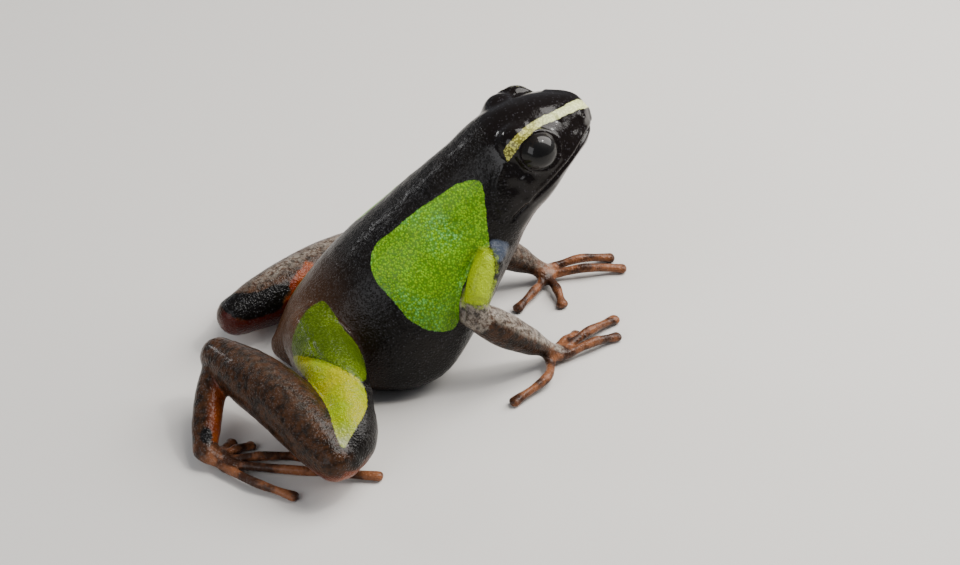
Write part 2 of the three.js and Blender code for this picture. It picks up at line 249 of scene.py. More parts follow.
RIGHT, UP, FORWARD = view_axes()
VIEW_POINT = np.array(CAMERA_AIM) - CAMERA_DISTANCE * FORWARD


def on_drawing(co):
    """Places on the drawing, x to the right and y down, of points on the frog's right side."""
    from_aim = co - np.array(CAMERA_AIM)
    scale = PIXELS_PER_MM * CAMERA_DISTANCE / (CAMERA_DISTANCE + from_aim @ FORWARD)
    return np.stack([AIM_PIXEL[0] + scale * (from_aim @ RIGHT), AIM_PIXEL[1] - scale * (from_aim @ UP)], 1)


def from_drawing(tree, places):
    """Points on the skin under places on the drawing."""
    found = []
    reach = PIXELS_PER_MM * CAMERA_DISTANCE
    for x, y in places:
        ray = FORWARD + (x - AIM_PIXEL[0]) / reach * RIGHT - (y - AIM_PIXEL[1]) / reach * UP
        hit = tree.ray_cast(Vector(VIEW_POINT), Vector(ray).normalized())[0]
        if hit is not None:
            found.append(np.array(hit))
    return np.array(found)


# Rough bodies, before they are made one skin
def extruded(name, rings):
    """A closed round body: a filled circle, extruded once for each ring and drawn to its shape."""
    clear_selection()
    bpy.ops.mesh.primitive_circle_add(vertices=len(rings[0]), radius=1, fill_type="NGON")
    body = bpy.context.active_object
    body.name = name
    bpy.ops.object.mode_set(mode="EDIT")
    bpy.ops.mesh.select_all(action="SELECT")
    for number, ring in enumerate(rings):
        if number:
            bpy.ops.mesh.extrude_region_move()
        mesh = bmesh.from_edit_mesh(body.data)
        for vertex, point in zip([v for v in mesh.verts if v.select], ring):
            vertex.co = point
        bmesh.update_edit_mesh(body.data)
    bpy.ops.mesh.select_all(action="SELECT")
    bpy.ops.mesh.normals_make_consistent(inside=False)
    bpy.ops.object.mode_set(mode="OBJECT")
    return body


def trunk_slice(place):
    """Centre, upward direction, reach up and down, half width and squareness of a slice."""
    back_x, back_z = smooth_at([s[0] for s in SLICES], place)
    belly_x, belly_z = smooth_at([s[1] for s in SLICES], place)
    back, belly = np.array([back_x, 0, back_z]), np.array([belly_x, 0, belly_z])
    wide, level, square = smooth_at([s[2:] for s in SLICES], place)
    height = np.linalg.norm(back - belly)
    centre = belly + level * (back - belly)
    return centre, unit(back - belly), height * (1 - level), height * level, wide, square


def trunk_point(place, angle):
    """Point on the trunk: angle 0 is the frog's left side, 90 its back, 180 its right side."""
    centre, upward, up, down, wide, square = trunk_slice(place)
    c, s = math.cos(math.radians(angle)), math.sin(math.radians(angle))
    power = 1.0 if s > 0 else 2 / square
    sideways = math.copysign(abs(c) ** power, c) * wide
    rise = math.copysign(abs(s) ** power, s) * (up if s > 0 else down)
    return centre + np.array([0, sideways, 0]) + upward * rise


def rounded_end(ring, centre, steps):
    """Smaller copies of the trunk's end ring, set further out."""
    return [[centre + (p - centre) * shrink + np.array([out, 0, 0]) for p in ring] for shrink, out in steps]


def trunk():
    last = len(SLICES) - 1
    places = np.linspace(0, last, last * RINGS_PER_SLICE + 1)
    angles = np.linspace(0, 360, TRUNK_SIDES, endpoint=False)
    rings = [[trunk_point(place, angle) for angle in angles] for place in places]
    tail = rounded_end(rings[0], trunk_slice(0)[0], TAIL_END)
    nose = rounded_end(rings[-1], trunk_slice(last)[0], NOSE_END)
    return extruded("trunk", tail + rings + nose)


def limb(name, points, sizes, sides, steps):
    """A rounded limb through its points, with half widths and heights along it."""
    places = np.linspace(0, len(points) - 1, steps)
    path = [smooth_at(points, p) for p in places]
    widths = [smooth_at(sizes, p / (len(points) - 1) * (len(sizes) - 1)) for p in places]
    along = [unit(b - a) for a, b in zip([path[0]] + path[:-1], path[1:] + [path[-1]])]
    turns = np.linspace(0, 2 * math.pi, sides, endpoint=False)

    def ring(centre, direction, size):
        side = unit(np.cross((0, 0, 1), direction))
        up = np.cross(direction, side)
        return [centre + side * math.cos(t) * size[0] + up * math.sin(t) * size[1] for t in turns]

    def end(number, way):
        centre, direction, size = path[number], along[number], widths[number]
        return [
            ring(centre + way * direction * out * min(size), direction, size * shrink)
            for shrink, out in LIMB_END
        ]

    stretch = [ring(*place) for place in zip(path, along, widths)]
    return extruded(name, end(0, -1) + stretch + end(-1, 1)[::-1])


def middle(a, b, bow=(0, 0, 0)):
    return tuple((p + q) / 2 + r for p, q, r in zip(a, b, bow))


def spans():
    """Points and sizes of every stretch of limb, palm, sole and digit, by name."""
    table = {}
    for side, j in LIMBS.items():
        out = SIDES[side]
        for name, a, b, bow, sizes in (
            ("upper_arm", "shoulder", "elbow", (-0.3, 0.4 * out, 0), UPPER_ARM),
            ("forearm", "elbow", "wrist", (0, 0.2 * out, 0), FOREARM),
            ("shank", "knee", "heel", (0.45, 0, 0.3), SHANK),
            ("tarsus", "heel", "ankle", (-0.2, 0, 0), TARSUS),
        ):
            table[f"{side}_{name}"] = ([j[a], middle(j[a], j[b], bow), j[b]], sizes)
        table[side + "_thigh"] = ([j["hip"], *j["thigh"]], THIGH)
        for part, joint, digits, flesh in (
            ("hand", j["wrist"], j["fingers"], PALM),
            ("foot", j["ankle"], j["toes"], SOLE),
        ):
            roots = tuple(np.mean([d[0] for d in digits], axis=0))
            table[f"{side}_{part}"] = ([joint, middle(joint, roots), roots], flesh)
            for number, (root, bend, tip) in enumerate(digits):
                table[f"{side}_{part}_{number}"] = ([middle(joint, root), root, bend, tip], DIGIT)
    return table


SPANS = spans()


def ball(name, centre, radius, segments=40):
    clear_selection()
    bpy.ops.mesh.primitive_uv_sphere_add(
        segments=segments, ring_count=segments // 2, radius=radius, location=centre
    )
    thing = bpy.context.active_object
    thing.name = name
    bpy.ops.object.transform_apply(location=True, rotation=True, scale=True)
    return thing


def on_side(point, out):
    """A point or direction given for the left side, on the left for out 1 and the right for -1."""
    return point * np.array([1, out, 1])


def flesh_pieces():
    pieces = [trunk()]
    for name, (points, sizes) in SPANS.items():
        if name[-1].isdigit():
            mesh = DIGIT_MESH
        else:
            mesh = PALM_MESH if sizes in (PALM, SOLE) else LIMB_MESH
        pieces.append(limb(name, points, sizes, *mesh))
    for side, out in SIDES.items():
        eye = on_side(EYE_CENTRE, out)
        pieces.append(ball(side + "_lid", eye, LID_RADIUS))
        pieces.append(ball(side + "_brow", eye + on_side(BROW_FROM_EYE, out), BROW_RADIUS))
    return pieces


def joined(pieces, name):
    clear_selection()
    for piece in pieces:
        piece.select_set(True)
    bpy.context.view_layer.objects.active = pieces[0]
    bpy.ops.object.join()
    pieces[0].name = name
    return pieces[0]


def apply_modifier(thing, kind, **values):
    choose(thing)
    modifier = thing.modifiers.new(kind.title(), kind)
    for key, value in values.items():
        setattr(modifier, key, value)
    bpy.ops.object.modifier_apply(modifier=modifier.name)


def triples(rows, what):
    values = np.empty(len(rows) * 3)
    rows.foreach_get(what, values)
    return values.reshape(-1, 3)


def points_of(thing):
    return triples(thing.data.vertices, "co")


def normals_of(thing):
    return triples(thing.data.vertex_normals, "vector")


def set_points(thing, co):
    thing.data.vertices.foreach_set("co", co.ravel())
    thing.data.update()


# Where each point of the skin is on the body
def line_distance(points, line):
    """Distance to a line of points, the place along it from 0 to 1, and the nearest point on it."""
    best = np.full(len(points), 1e9)
    along = np.zeros(len(points))
    nearest = np.zeros_like(points)
    for n, (a, b) in enumerate(zip(line[:-1], line[1:])):
        step = b - a
        t = np.clip((points - a) @ step / (step @ step), 0, 1)
        there = a + t[:, None] * step
        d = np.linalg.norm(points - there, axis=1)
        nearer = d < best
        best[nearer], nearest[nearer] = d[nearer], there[nearer]
        along[nearer] = (n + t[nearer]) / (len(line) - 1)
    return best, along, nearest


def limb_depth(co, name):
    """Distance outside a limb's surface, place along it, and direction out from its middle."""
    points, sizes = SPANS[name]
    line = smooth_line(points, LINE_STEPS)
    size = smooth_line(sizes, LINE_STEPS).mean(axis=1)
    near = np.all((co > line.min(0) - LIMB_REACH) & (co < line.max(0) + LIMB_REACH), axis=1)
    depth, place, out = np.full(len(co), FAR), np.zeros(len(co)), np.zeros_like(co)
    d, along, nearest = line_distance(co[near], line)
    depth[near] = d - np.interp(along, np.linspace(0, 1, LINE_STEPS), size)
    place[near] = along
    out[near] = (co[near] - nearest) / np.maximum(d, 1e-6)[:, None]
    return depth, place, out


def trunk_depth(co):
    """Distance outside the trunk's surface, and the slice number there."""
    last = len(SLICES) - 1
    places = np.linspace(0, last, last * SLICE_PARTS + 1)
    slices = [trunk_slice(p) for p in places]
    centres = np.array([s[0] for s in slices])
    ups = np.array([s[1] for s in slices])
    rest = np.array([s[2:] for s in slices])
    ahead = np.stack([ups[:, 2], np.zeros(len(ups)), -ups[:, 0]], axis=1)
    past = co @ ahead.T - np.sum(centres * ahead, axis=1)
    k = np.clip(np.sum(past > 0, axis=1) - 1, 0, len(places) - 2)
    row = np.arange(len(co))
    t = np.clip(past[row, k] / np.maximum(past[row, k] - past[row, k + 1], 1e-6), 0, 1)[:, None]
    centre = centres[k] * (1 - t) + centres[k + 1] * t
    upward = ups[k] * (1 - t) + ups[k + 1] * t
    up, down, wide, square = (rest[k] * (1 - t) + rest[k + 1] * t).T
    rise = np.sum((co - centre) * upward, axis=1)
    power = np.where(rise > 0, 2, square)
    reach = np.where(rise > 0, up, down)
    ratio = (np.abs(co[:, 1] / wide) ** power + np.abs(rise / reach) ** power) ** (1 / power)
    return (ratio - 1) * np.minimum(wide, (up + down) / 2), places[k] + t[:, 0] / SLICE_PARTS


def around(out, name):
    """Angle round a limb, 0 on top, growing towards the side that a folded limb keeps open."""
    points, _ = SPANS[name]
    side, part = name.split("_", 1)
    along = unit(np.subtract(points[-1], points[0]))
    up = unit(np.array((0, 0, 1)) - along * along[2])
    neighbour = {"thigh": "shank", "shank": "thigh", "tarsus": "shank"}.get(part)
    if neighbour:
        towards = np.mean(SPANS[f"{side}_{neighbour}"][0], axis=0) - np.mean(points, axis=0)
        towards = -towards if part == "thigh" else towards
    else:
        towards = np.array((0, SIDES[side], 0))
    fore = unit(towards - along * (towards @ along) - up * (towards @ up))
    return np.arctan2(out @ fore, out @ up)


def inside_by(places, loop):
    """Distance inside a closed line on a flat sheet, negative outside it."""
    closed = np.vstack([loop, loop[:1]])
    d = line_distance(places, closed)[0]
    inside = np.zeros(len(places), bool)
    for (ax, ay), (bx, by) in zip(closed[:-1], closed[1:]):
        crosses = (ay > places[:, 1]) != (by > places[:, 1])
        rise = by - ay if by != ay else 1e-9
        inside ^= crosses & (places[:, 0] < ax + (places[:, 1] - ay) / rise * (bx - ax))
    return np.where(inside, d, -d)


# Carving
def stroke(thing, line, width, height, ends=0.12):
    """Raises or lowers the skin along a line, fading at its ends."""
    if len(line) < 2:
        return
    co, no = points_of(thing), normals_of(thing)
    near = np.all((co > line.min(0) - 3 * width) & (co < line.max(0) + 3 * width), axis=1)
    d, along, _ = line_distance(co[near], line)
    fade = np.clip(np.minimum(along, 1 - along) / ends, 0, 1)
    lift = height * np.exp(-((d / width) ** 2)) * fade
    co[near] += no[near] * lift[:, None]
    set_points(thing, co)


def dab(thing, centre, radius, height):
    """Raises or lowers a round spot of the skin."""
    co, no = points_of(thing), normals_of(thing)
    d = np.linalg.norm(co - centre, axis=1)
    near = d < 3 * radius
    co[near] += no[near] * (height * np.exp(-((d[near] / radius) ** 2)))[:, None]
    set_points(thing, co)


def both_sides(line):
    return line, line * MIRROR


def eye_frame(out):
    """Centre of an eye, and the directions of its gaze, its long way and its height."""
    looks = unit(on_side(EYE_LOOKS, out))
    level = np.array(EYE_LONG_WAY)
    long_way = unit(level - looks * (level @ looks))
    high_way = np.cross(looks, long_way)
    return on_side(EYE_CENTRE, out), looks, long_way, high_way * np.sign(high_way[2])


def open_lids(thing):
    """Sinks the skin behind each eyeball inside a rounded opening, and thickens the lids' rims."""
    stretch, rise, drop = OPENING_SHAPE
    for out in SIDES.values():
        centre, looks, long_way, high_way = eye_frame(out)
        co = points_of(thing)
        near = np.linalg.norm(co - centre, axis=1) < EYE_RADIUS * 1.8
        from_eye = co[near] - centre
        reach = np.linalg.norm(from_eye, axis=1)
        along, high = from_eye @ long_way / stretch, from_eye @ high_way
        high = high / np.where(high > 0, rise, drop)
        across = np.where(from_eye @ looks > 0, np.hypot(along, high), FAR)
        inside = 1 - np.clip((across - OPENING_RADIUS) / OPENING_EDGE, 0, 1)
        rim = RIM_HEIGHT + UPPER_RIM_HEIGHT * ease(high, 0.2, 0.9)
        rim *= np.exp(-(((across - RIM_RADIUS) / RIM_WIDTH) ** 2))
        lid = np.maximum(reach, EYE_RADIUS + LID_THICKNESS) + rim
        sunk = np.minimum(reach, EYE_RADIUS - BEHIND_EYE)
        new_reach = lid * (1 - inside) + sunk * inside
        co[near] = centre + from_eye * (new_reach / reach)[:, None]
        set_points(thing, co)


# Lines on the drawing that are carved into the skin: places, width, height
CARVED = [
    ([(588, 102), (576, 106), (564, 112), (556, 118)], 0.3, 0.08),
    ([(584, 120), (574, 130), (566, 143), (560, 156)], 0.45, -0.1),
    ([(506, 163), (499, 175), (497, 190), (500, 206), (507, 218)], 0.2, 0.1),
    ([(502, 168), (494, 178), (491, 194), (495, 212), (503, 224)], 0.16, -0.05),
    ([(523, 176), (528, 184), (530, 194), (526, 204)], 0.3, 0.07),
    ([(484, 243), (492, 240), (502, 241), (512, 245)], 0.14, -0.07),
    ([(488, 251), (498, 250), (508, 254)], 0.12, 0.05),
    ([(502, 255), (506, 266), (505, 280)], 0.14, -0.06),
]
MOUTH = [(591, 124), (586, 134), (576, 152), (562, 170), (547, 186), (532, 200), (519, 213), (512, 222)]
# Round spots on the drawing, with the radius and height of each dab there: ear and nostril
SPOTS = [
    ((513, 188), [(0.4, -0.07)]),
    ((583, 116), [(0.26, 0.07), (0.1, -0.22)]),
]


def carve_mouth(thing, tree):
    """Cuts the mouth from corner to corner, closed over the snout's tip, between two low lips."""
    right = from_drawing(tree, smooth_line(MOUTH, 50))
    right = right[np.argsort(-right[:, 0])]
    before_snout = Vector((right[0, 0] + 0.4, 0, right[0, 2]))
    tip = np.array(tree.find_nearest(before_snout)[0])
    mouth = np.vstack([(right * MIRROR)[::-1], tip[None], right])
    for rise, height in ((LIP, 0.05), (-LIP, 0.04)):
        stroke(thing, mouth + np.array([0, 0, rise]), 0.15, height)
    stroke(thing, mouth, 0.085, -0.16, 0.03)


def shape_head(thing, tree):
    open_lids(thing)
    for places, width, height in CARVED:
        for line in both_sides(from_drawing(tree, smooth_line(places, 24))):
            stroke(thing, line, width, height)
    carve_mouth(thing, tree)
    for place, dabs in SPOTS:
        for spot in both_sides(from_drawing(tree, [place])):
            for radius, height in dabs:
                dab(thing, spot[0], radius, height)


# Folds between the limbs and the body, on the drawing: places, width, height
FOLDS = [
    ([(481, 249), (472, 258), (466, 272), (463, 290), (462, 306), (465, 322)], 0.17, -0.22),
    ([(489, 255), (481, 268), (476, 284), (474, 300)], 0.4, 0.14),
    ([(297, 361), (312, 360), (330, 365), (345, 373), (358, 381), (366, 392)], 0.18, -0.12),
    ([(311, 340), (315, 350), (321, 357)], 0.1, -0.05),
    ([(367, 384), (374, 396), (378, 410)], 0.2, 0.08),
    ([(473, 306), (481, 311), (487, 318)], 0.12, -0.05),
    ([(478, 300), (486, 304), (493, 309)], 0.12, -0.04),
    ([(246, 350), (262, 368), (280, 390), (294, 414)], 0.5, 0.05),
    ([(236, 372), (252, 396), (272, 424), (292, 446)], 0.35, -0.06),
]


def soften(thing, group, weights, rounds):
    """Smooths the skin where the weights, from 0 to 1, say."""
    layer = thing.vertex_groups.new(name=group)
    tenths = np.round(weights * 10).astype(int)
    for tenth in range(1, 11):
        chosen = np.flatnonzero(tenths == tenth)
        if len(chosen):
            layer.add(chosen.tolist(), tenth / 10, "REPLACE")
    apply_modifier(thing, "SMOOTH", factor=0.5, iterations=rounds, vertex_group=group)
    thing.vertex_groups.clear()


def soften_joints(thing):
    """Rounds the hollows where limbs, digits and eyelids leave the body."""
    co = points_of(thing)
    depths = {name: limb_depth(co, name)[0] for name in SPANS}
    body, slice_number = trunk_depth(co)
    digits = np.array([d for name, d in depths.items() if name[-1].isdigit()])
    big = np.array([body] + [d for name, d in depths.items() if not name[-1].isdigit()])
    leg = least(*(depths[f"{side}_{part}"] for side in LIMBS for part in ("thigh", "shank", "tarsus")))
    eye = least(*(np.linalg.norm(co - on_side(EYE_CENTRE, out), axis=1) for out in SIDES.values()))
    # the hollow between two bodies, less of it between the parts of a leg, and none at the eyes
    weights = 1 - ease(np.sort(big, axis=0)[1], 0.15, 0.9)
    weights = np.where((leg < 0.2) & (body > 0.6), weights * 0.25, weights)
    weights = np.where(eye < 2.1, 0.0, weights)
    # the fold between arm and chest stays
    for side in LIMBS:
        depth, place, _ = limb_depth(co, side + "_upper_arm")
        weights = np.where(depth < 0.8, weights * (1 - 0.85 * ease(place, 0.05, 0.3)), weights)
    # the tail end
    weights = np.maximum(weights, 1 - ease(slice_number, 0.7, 1.8) - ease(body, 0.1, 0.4))
    soften(thing, "joints", np.clip(weights, 0, 1), 90)
    soften(thing, "brows", ease(eye, 1.3, 1.6) * (1 - ease(eye, 2.3, 3.0)), 60)
    webs = 1 - ease(np.sort(digits, axis=0)[1], 0.02, 0.25)
    soften(thing, "webs", webs * (co[:, 2] < 1.5), 12)


def flatten_under(thing):
    """Rests the belly, palms, soles and digits on the floor at one level."""
    co = points_of(thing)
    low = co[:, 2] < FLAT_LEVEL
    co[low, 2] = FLAT_LEVEL * np.exp(co[low, 2] - FLAT_LEVEL)
    set_points(thing, co)


def skin_tree(thing):
    return BVHTree.FromObject(thing, bpy.context.evaluated_depsgraph_get())


def build_skin():
    skin = joined(flesh_pieces(), "skin")
    apply_modifier(skin, "REMESH", mode="VOXEL", voxel_size=VOXEL, adaptivity=0)
    apply_modifier(skin, "SMOOTH", factor=0.5, iterations=5)
    soften_joints(skin)
    tree = skin_tree(skin)
    for places, width, height in FOLDS:
        stroke(skin, from_drawing(tree, smooth_line(places, 24)), width, height)
    shape_head(skin, tree)
    unevenness = bpy.data.textures.new("unevenness", "CLOUDS")
    unevenness.noise_scale = UNEVENNESS_SIZE
    apply_modifier(skin, "DISPLACE", texture=unevenness, strength=UNEVENNESS, mid_level=0.5)
    flatten_under(skin)
    triangles = 2 * len(skin.data.polygons)
    apply_modifier(skin, "DECIMATE", ratio=min(1, SKIN_TRIANGLES / triangles))
    choose(skin)
    bpy.ops.object.shade_smooth()
    return skin


# Markings: closed lines on the drawing
FLANK = [
    (477, 180), (483, 188), (485, 202), (487, 225), (489, 246), (480, 262), (470, 290), (461, 314),
    (453, 329), (433, 331), (411, 321), (395, 303), (376, 281), (371, 262), (376, 244), (391, 232),
    (415, 212), (439, 196), (457, 184),
]
GROIN = [
    (323, 301), (333, 312), (343, 328), (355, 342), (364, 360), (366, 378), (358, 382), (345, 374),
    (330, 366), (312, 361), (297, 361), (292, 350), (293, 337), (300, 320), (310, 308),
]
THIGH_PATCH = [
    (294, 356), (312, 358), (330, 363), (346, 371), (359, 380), (366, 392), (367, 406), (362, 419),
    (355, 430), (348, 442), (342, 458), (336, 464), (331, 452), (329, 438), (325, 424), (322, 408),
    (317, 393), (306, 378), (296, 366),
]
ARM_PATCH = [
    (472, 253), (482, 249), (491, 250), (495, 262), (494, 276), (493, 290), (489, 301), (481, 307),
    (470, 304), (460, 303), (456, 290), (458, 276), (464, 263),
]
# Outline of a painted grey-blue reflection on the wet shoulder
SHOULDER_REFLECTION = [(490, 241), (499, 240), (508, 243), (507, 251), (502, 261), (497, 261), (493, 251)]
# The left leg as the same camera sees it
LEFT_BAND = [
    (220, 284), (226, 291), (240, 293), (256, 292), (268, 288), (279, 284), (287, 285), (290, 291),
    (284, 298), (281, 309), (264, 316), (247, 320), (232, 316), (220, 304),
]
LEFT_RED = [
    (224, 310), (240, 320), (262, 316), (281, 308), (296, 300), (300, 330), (262, 346), (222, 330),
]
LEFT_ORANGE = [
    (289, 285), (294, 277), (301, 268), (309, 261), (316, 272), (306, 292), (296, 308), (284, 310),
    (286, 299), (291, 292),
]
# The stripe's middle line, how much lower it lies on the left, and its half width in millimetres
STRIPE = [
    (592, 101), (579, 104), (566, 110), (554, 116), (542, 121), (531, 128), (520, 138), (511, 149),
    (503, 159), (497, 163),
]
STRIPE_LEFT_DROP = 7.0
STRIPE_HALF_WIDTH = [0.34, 0.3, 0.27, 0.25, 0.23, 0.23, 0.27, 0.3, 0.3, 0.15]
# Millimetres along a thigh and, for each radian, round it
THIGH_LENGTH = 10.5
THIGH_GIRTH = 1.6


class Places:
    """Where each point of the skin is: on the drawing, on the trunk and on the limbs."""

    def __init__(self, skin):
        self.co, self.no = points_of(skin), normals_of(skin)
        self.tree = skin_tree(skin)
        self.right = self.co[:, 1] < 0
        mirrored = np.where(self.right[:, None], 1, MIRROR)
        self.flat = on_drawing(self.co * mirrored)
        self.towards_view = self.no @ -FORWARD
        self.open_side = ((self.no * mirrored) @ -FORWARD + 0.15) * 3
        self.body, self.slice_number = trunk_depth(self.co)
        self.limbs = {name: limb_depth(self.co, name) for name in SPANS}
        leg = least(*self.depths("thigh", "shank", "tarsus"))
        near_leg = (leg < 0.6) & (leg < self.body + 0.3)
        self.on_left_leg = near_leg & (self.co[:, 1] > 1.5) & (self.towards_view > -0.2)

    def depths(self, *kinds):
        """Distance outside the nearest limb of each kind."""
        return [least(*(self.limbs[name][0] for name in self.limbs if kind in name)) for kind in kinds]

    def nearer(self, kind):
        """Place along the nearer limb of a kind, and the angle round it."""
        left, right = "left_" + kind, "right_" + kind
        is_right = self.limbs[right][0] <= self.limbs[left][0]
        place = np.where(is_right, self.limbs[right][1], self.limbs[left][1])
        angles = around(self.limbs[right][2], right), around(self.limbs[left][2], left)
        return place, np.where(is_right, *angles)

    def traced(self, loop):
        """How far a point is inside an outline of the right side, or its mirror image, in millimetres."""
        return inside_by(self.flat, smooth_loop(loop)) / PIXELS_PER_MM

    def seen(self, loop):
        """How far a point is inside an outline of the left leg, in millimetres."""
        inside = inside_by(on_drawing(self.co), smooth_loop(loop)) / PIXELS_PER_MM
        return np.where(self.on_left_leg, inside, -1)


def mark(thing, name, values):
    layer = thing.data.attributes.new(name, "FLOAT", "POINT")
    layer.data.foreach_set("value", np.ascontiguousarray(values, np.float32))


# Limits in the marks are millimetres, shares of a limb's length from its root, and radians round it
def mark_flank_and_groin(skin, at):
    """Green flank behind the arm, with painted shade on its lower part, and green groin above the thigh's
    fold.
    """
    arm, thigh, shank, tarsus = at.depths("upper_arm", "thigh", "shank", "tarsus")
    behind_arm = arm - at.body + np.where(at.right, 0.3, 0.05)
    mark(skin, "flank", least(at.traced(FLANK), behind_arm, at.open_side))
    # painted shade, growing down the drawing of the flank
    mark(skin, "flank_shade", ease(at.flat[:, 1], 275, 335))
    clear_of_shank = np.where(at.right, 1, least(shank, tarsus) - at.body + 0.1)
    along, _ = at.nearer("thigh")
    on_thigh = np.maximum(thigh - at.body, np.where(at.right, (0.42 - along) * 8, -1))
    mark(skin, "groin", least(at.traced(GROIN), clear_of_shank, at.open_side, on_thigh))


def mark_thighs(skin, at):
    """Yellow on the open upper side, laid out along and round the left thigh, and orange behind."""
    thigh, shank, tarsus = at.depths("thigh", "shank", "tarsus")
    _, along, out = limb_depth(from_drawing(at.tree, smooth_loop(THIGH_PATCH, 40)), "right_thigh")
    sheet = np.stack([along * THIGH_LENGTH, around(out, "right_thigh") * THIGH_GIRTH], axis=1)
    along, angle = at.nearer("thigh")
    places = np.stack([along * THIGH_LENGTH, angle * THIGH_GIRTH], axis=1)
    laid_out = least(inside_by(places, sheet), at.body - thigh + 0.1)
    drawn = least(at.traced(THIGH_PATCH), (at.towards_view + 0.15) * 2)
    patch = np.where(at.right, drawn, laid_out)
    mark(skin, "thigh", least(patch, least(shank, tarsus) - thigh + 0.02))
    mark(skin, "thigh_fade", ease(along, 0.74, 1.0))
    behind = least(-1.2 - angle, (along - 0.3) * 4, at.body - thigh + 0.1, shank - thigh + 0.12)
    behind = np.where(at.on_left_leg, -1, behind)
    mark(skin, "thigh_back", np.maximum(behind, at.seen(LEFT_ORANGE)))
    mark(skin, "left_band", at.seen(LEFT_BAND))


def mark_arms(skin, at):
    """Yellow-green upper arms, and a painted grey-blue reflection on the shoulder."""
    arm, thigh = at.depths("upper_arm", "thigh")
    along, angle = at.nearer("upper_arm")
    drawn = least(at.traced(ARM_PATCH), at.body - arm + 0.7, at.open_side)
    whole = least(at.body - arm + 0.05, thigh - arm)
    above_elbow = (0.92 - along) * 2.5
    mark(skin, "arm", least(np.where(at.right, drawn, whole), above_elbow, 0.35 - arm))
    mark(skin, "arm_side", np.cos(angle - 1.2))
    # painted reflection: grey-blue patch on the shoulder
    mark(skin, "shoulder", least(at.traced(SHOULDER_REFLECTION), 0.6 - arm))


def mark_stripe(skin, at):
    """Pale stripe from the snout over the eye."""
    lower = np.where(at.right[:, None], 0, np.array([0, STRIPE_LEFT_DROP]))
    d, along, _ = line_distance(at.flat - lower, smooth_line(STRIPE))
    width = np.interp(along, np.linspace(0, 1, len(STRIPE)), STRIPE_HALF_WIDTH)
    stripe = least(width - d / PIXELS_PER_MM, np.where(at.right, 1, 0.1 - at.towards_view))
    mark(skin, "stripe", np.where(at.slice_number > 8.6, stripe, -1))
    mark(skin, "stripe_place", along)


def mark_brown(skin, at):
    """Brown limbs, and paler hands and feet."""
    arm, forearm, hand, foot = at.depths("upper_arm", "forearm", "hand", "foot")
    thigh, shank, tarsus = at.depths("thigh", "shank", "tarsus")
    brown = least(forearm, hand, shank, tarsus, foot)
    mark(skin, "brown", ease(least(at.body, arm, thigh) - brown, -0.3, 0.2))
    above_paws = least(thigh, shank, tarsus, forearm, at.body)
    mark(skin, "paws", ease(above_paws - least(hand, foot), -0.4, 0.4))


def mark_silver_and_sheen(skin, at):
    """Silvery mottling, partly the skin's own silver and partly a painted sheen, on top of the forearm, on
    the elbow and along the shank's ridge.
    """
    arm, forearm, thigh, shank = at.depths("upper_arm", "forearm", "thigh", "shank")
    _, angle = at.nearer("forearm")
    top = (1 - ease(angle, 0.8, 1.3)) * ease(angle, -1.8, -1.0)
    top *= (forearm < 0.5) * np.where(at.right, 1, 0.4)
    along, angle = at.nearer("upper_arm")
    elbow = 0.8 * ease(along, 0.6, 0.8) * ease(np.cos(angle - 0.8), 0.0, 0.6) * (arm < 0.4)
    along, angle = at.nearer("shank")
    ridge = np.exp(-(((angle + 0.1) / 0.36) ** 2)) * ease(along, 0.02, 0.3) * ease(along, 1.0, 0.7)
    ridge *= (shank < 0.4) * (shank <= thigh) * np.where(at.right, 0.12, 0.85)
    mark(skin, "silver_and_sheen", np.maximum(np.maximum(top, elbow) * (forearm < shank), ridge))


def mark_flash(skin, at):
    """Orange and red on the hidden faces of the folded legs, and the left leg's red."""
    thigh, shank, tarsus, foot = at.depths("thigh", "shank", "tarsus", "foot")
    _, angle = at.nearer("shank")
    hidden = np.maximum(ease(angle, 1.9, 2.3), ease(-angle, 2.5, 2.8))
    hidden *= (shank < 0.4) * (shank < tarsus + 0.1)
    along, angle = at.nearer("tarsus")
    inner = 0.62 * ease(angle, -0.1, 0.9) * (tarsus < 0.5) * (tarsus < shank)
    knee_under = ease(-at.no[:, 2], 0.0, 0.5) * ease(-at.co[:, 1], 11.6, 12.6)
    knee_under *= least(shank, thigh) < 0.4
    flash = np.clip(hidden + inner + 0.6 * knee_under, 0, 1) * (foot > 0.15)
    left_red = ease(at.seen(LEFT_RED), -0.15, 0.15)
    mark(skin, "flash", np.maximum(np.where(at.on_left_leg, 0, flash), left_red))
    mark(skin, "deep", np.where(at.on_left_leg & (left_red > 0), 1, 0.5 * (shank < tarsus)))
    spot = 0.5 - np.hypot((along - 0.84) * 6, (angle - 0.25) * 0.8)
    mark(skin, "blotch", least(spot, 0.4 - tarsus))


def mark_trunk(skin, at):
    """Brown rump, wet head, throat and belly."""
    on_body = least(*(place[0] for place in at.limbs.values())) - at.body
    _, angle = at.nearer("thigh")
    root = ease(-angle, -0.3, 0.6) * ease(least(*at.depths("shank", "tarsus")), 0.0, 0.3)
    rump = ease(2.6 - at.slice_number, -1.2, 1.2)
    mark(skin, "rump", rump * np.where(on_body > -0.2, 1, root))
    mark(skin, "head", ease(at.slice_number, 7.8, 8.7) * (1 - ease(at.body, 1.0, 1.9)))
    under_chin = ease(-at.no[:, 2] * 0.95 + at.no[:, 0] * 0.2, 0.3, 0.75) * (on_body > 0)
    mark(skin, "throat", ease(at.slice_number, 6.6, 8.2) * under_chin)
    under_belly = ease(-at.no[:, 2], 0.35, 0.8) * (on_body > 0)
    mark(skin, "belly", ease(at.slice_number, 8.5, 6.5) * under_belly)


def paint(skin):
    """Stores, at each point of the skin, how far it is inside each marking and how strong each tint is."""
    at = Places(skin)
    for mark_one in (
        mark_flank_and_groin, mark_thighs, mark_arms, mark_stripe,
        mark_brown, mark_silver_and_sheen, mark_flash, mark_trunk,
    ):
        mark_one(skin, at)


